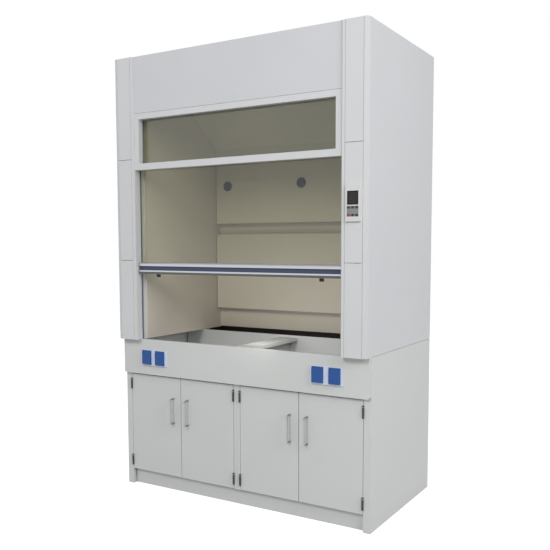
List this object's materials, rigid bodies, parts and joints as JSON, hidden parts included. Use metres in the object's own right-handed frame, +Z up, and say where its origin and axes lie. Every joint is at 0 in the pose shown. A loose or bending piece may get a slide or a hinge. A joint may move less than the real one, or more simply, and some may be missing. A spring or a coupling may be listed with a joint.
{
  "type": "fume hood",
  "caption": "Walk-up laboratory fume hood on an open-topped steel base: counterbalanced glass sash, fixed upper window, baffled lining, hinged cabinet doors and a controller on the post.",
  "frame": {"origin": "middle of the footprint's bounding box, on the floor", "axes": "X runs from left to right as the user faces the hood, +Y to the rear, +Z up"},
  "size_m": [1.5, 0.892, 2.41],
  "materials": {
    "paint": "satin pale grey powder coat",
    "lining": "matt beige lining board",
    "aluminium": "satin anodised",
    "steel": "bare",
    "nickel": "bright satin nickel",
    "iron": "bare",
    "dark_steel": "black",
    "clear_glass": "clear",
    "blue_plastic": "glossy",
    "pale_plastic": "satin",
    "navy_plastic": "satin",
    "black_plastic": "matt",
    "red_plastic": "matt",
    "rubber": "matt",
    "screen": "glossy"
  },
  "bodies": {
    "hood": {"cabinet_left": "paint", "cabinet_right": "paint", "kick_plate": "paint", "rear_panels": "paint", "apron": "paint", "socket_frames": "pale_plastic", "hinge_leaves": "dark_steel", "side_panel_left": "paint", "side_panel_right": "paint", "top_panel": "paint", "exhaust_collar": "steel", "front_post_left": "paint", "front_post_right": "paint", "post_covers": "paint", "header_panel": "paint", "window_frame": "paint", "upper_glass": "clear_glass", "sash_guides": "aluminium", "slide_strips": "blue_plastic", "side_linings": "lining", "rear_lining": "lining", "ceiling_lining": "lining", "lamp": "pale_plastic", "baffle_upper": "lining", "baffle_middle": "lining", "baffle_fixings": "navy_plastic", "pulley_brackets": "steel", "rope_wraps": "steel", "controller_housing": "pale_plastic", "display_window": "screen", "cable_gland": "black_plastic"},
    "sash": {"sash_glass": "clear_glass", "sash_handle": "aluminium", "handle_insert": "navy_plastic", "sash_stops": "rubber", "sash_ropes": "steel"},
    "weight_left": {"counterweight_left": "iron", "weight_rope_left": "steel"},
    "weight_right": {"counterweight_right": "iron", "weight_rope_right": "steel"},
    "pulley_wheel_left": {"pulley_left": "black_plastic"},
    "pulley_wheel_right": {"pulley_right": "black_plastic"},
    "door_leaf_1": {"door_1": "paint", "pull_1": "nickel"},
    "door_leaf_2": {"door_2": "paint", "pull_2": "nickel"},
    "door_leaf_3": {"door_3": "paint", "pull_3": "nickel"},
    "door_leaf_4": {"door_4": "paint", "pull_4": "nickel"},
    "lid_1": {"socket_lid_1": "blue_plastic"},
    "lid_2": {"socket_lid_2": "blue_plastic"},
    "lid_3": {"socket_lid_3": "blue_plastic"},
    "lid_4": {"socket_lid_4": "blue_plastic"},
    "button_1": {"key_1": "black_plastic"},
    "button_2": {"key_2": "black_plastic"},
    "button_3": {"key_3": "black_plastic"},
    "button_4": {"key_4": "red_plastic"},
    "button_5": {"key_5": "black_plastic"},
    "button_6": {"key_6": "black_plastic"}
  },
  "joints": [
    {"name": "sash_slide", "type": "slide", "parent": "hood", "child": "sash", "axis": [0, 0, 1], "range_m": [-0.3445, 0.17], "deforming": ["sash_ropes"]},
    {"name": "weight_left_slide", "type": "slide", "parent": "hood", "child": "weight_left", "axis": [0, 0, 1], "range_m": [-0.171, 0.3455], "deforming": ["weight_rope_left"]},
    {"name": "weight_right_slide", "type": "slide", "parent": "hood", "child": "weight_right", "axis": [0, 0, 1], "range_m": [-0.171, 0.3455], "deforming": ["weight_rope_right"]},
    {"name": "pulley_left_spin", "type": "hinge", "parent": "hood", "child": "pulley_wheel_left", "pos_m": [-0.6722, -0.3815, 2.29], "axis": [0, 1, 0], "range_deg": [-330, 664]},
    {"name": "pulley_right_spin", "type": "hinge", "parent": "hood", "child": "pulley_wheel_right", "pos_m": [0.6722, -0.3815, 2.29], "axis": [0, 1, 0], "range_deg": [-664, 330]},
    {"name": "door_1_hinge", "type": "hinge", "parent": "hood", "child": "door_leaf_1", "pos_m": [-0.711, -0.3793, 0.36], "axis": [0, 0, -1], "range_deg": [0, 110]},
    {"name": "door_2_hinge", "type": "hinge", "parent": "hood", "child": "door_leaf_2", "pos_m": [-0.02, -0.3793, 0.36], "axis": [0, 0, 1], "range_deg": [0, 85]},
    {"name": "door_3_hinge", "type": "hinge", "parent": "hood", "child": "door_leaf_3", "pos_m": [0.02, -0.3793, 0.36], "axis": [0, 0, -1], "range_deg": [0, 85]},
    {"name": "door_4_hinge", "type": "hinge", "parent": "hood", "child": "door_leaf_4", "pos_m": [0.711, -0.3793, 0.36], "axis": [0, 0, 1], "range_deg": [0, 110]},
    {"name": "lid_1_hinge", "type": "hinge", "parent": "hood", "child": "lid_1", "pos_m": [-0.575, -0.4055, 0.7745], "axis": [-1, 0, 0], "range_deg": [0, 100], "stiffness_Nm_per_rad": 0.02, "springref_deg": -17.19},
    {"name": "lid_2_hinge", "type": "hinge", "parent": "hood", "child": "lid_2", "pos_m": [-0.484, -0.4055, 0.7745], "axis": [-1, 0, 0], "range_deg": [0, 100], "stiffness_Nm_per_rad": 0.02, "springref_deg": -17.19},
    {"name": "lid_3_hinge", "type": "hinge", "parent": "hood", "child": "lid_3", "pos_m": [0.484, -0.4055, 0.7745], "axis": [-1, 0, 0], "range_deg": [0, 100], "stiffness_Nm_per_rad": 0.02, "springref_deg": -17.19},
    {"name": "lid_4_hinge", "type": "hinge", "parent": "hood", "child": "lid_4", "pos_m": [0.575, -0.4055, 0.7745], "axis": [-1, 0, 0], "range_deg": [0, 100], "stiffness_Nm_per_rad": 0.02, "springref_deg": -17.19},
    {"name": "key_1_press", "type": "slide", "parent": "hood", "child": "button_1", "axis": [0, 1, 0], "range_m": [0, 0.001], "stiffness_N_per_m": 300, "springref_m": -0.001},
    {"name": "key_2_press", "type": "slide", "parent": "hood", "child": "button_2", "axis": [0, 1, 0], "range_m": [0, 0.001], "stiffness_N_per_m": 300, "springref_m": -0.001},
    {"name": "key_3_press", "type": "slide", "parent": "hood", "child": "button_3", "axis": [0, 1, 0], "range_m": [0, 0.001], "stiffness_N_per_m": 300, "springref_m": -0.001},
    {"name": "key_4_press", "type": "slide", "parent": "hood", "child": "button_4", "axis": [0, 1, 0], "range_m": [0, 0.001], "stiffness_N_per_m": 300, "springref_m": -0.001},
    {"name": "key_5_press", "type": "slide", "parent": "hood", "child": "button_5", "axis": [0, 1, 0], "range_m": [0, 0.001], "stiffness_N_per_m": 300, "springref_m": -0.001},
    {"name": "key_6_press", "type": "slide", "parent": "hood", "child": "button_6", "axis": [0, 1, 0], "range_m": [0, 0.001], "stiffness_N_per_m": 300, "springref_m": -0.001}
  ],
  "couplings": [
    {"joint": "weight_left_slide", "follows": "sash_slide", "ratio": -1},
    {"joint": "weight_right_slide", "follows": "sash_slide", "ratio": -1},
    {"joint": "pulley_left_spin", "follows": "sash_slide", "rad_per_m": -33.333},
    {"joint": "pulley_right_spin", "follows": "sash_slide", "rad_per_m": 33.333}
  ]
}
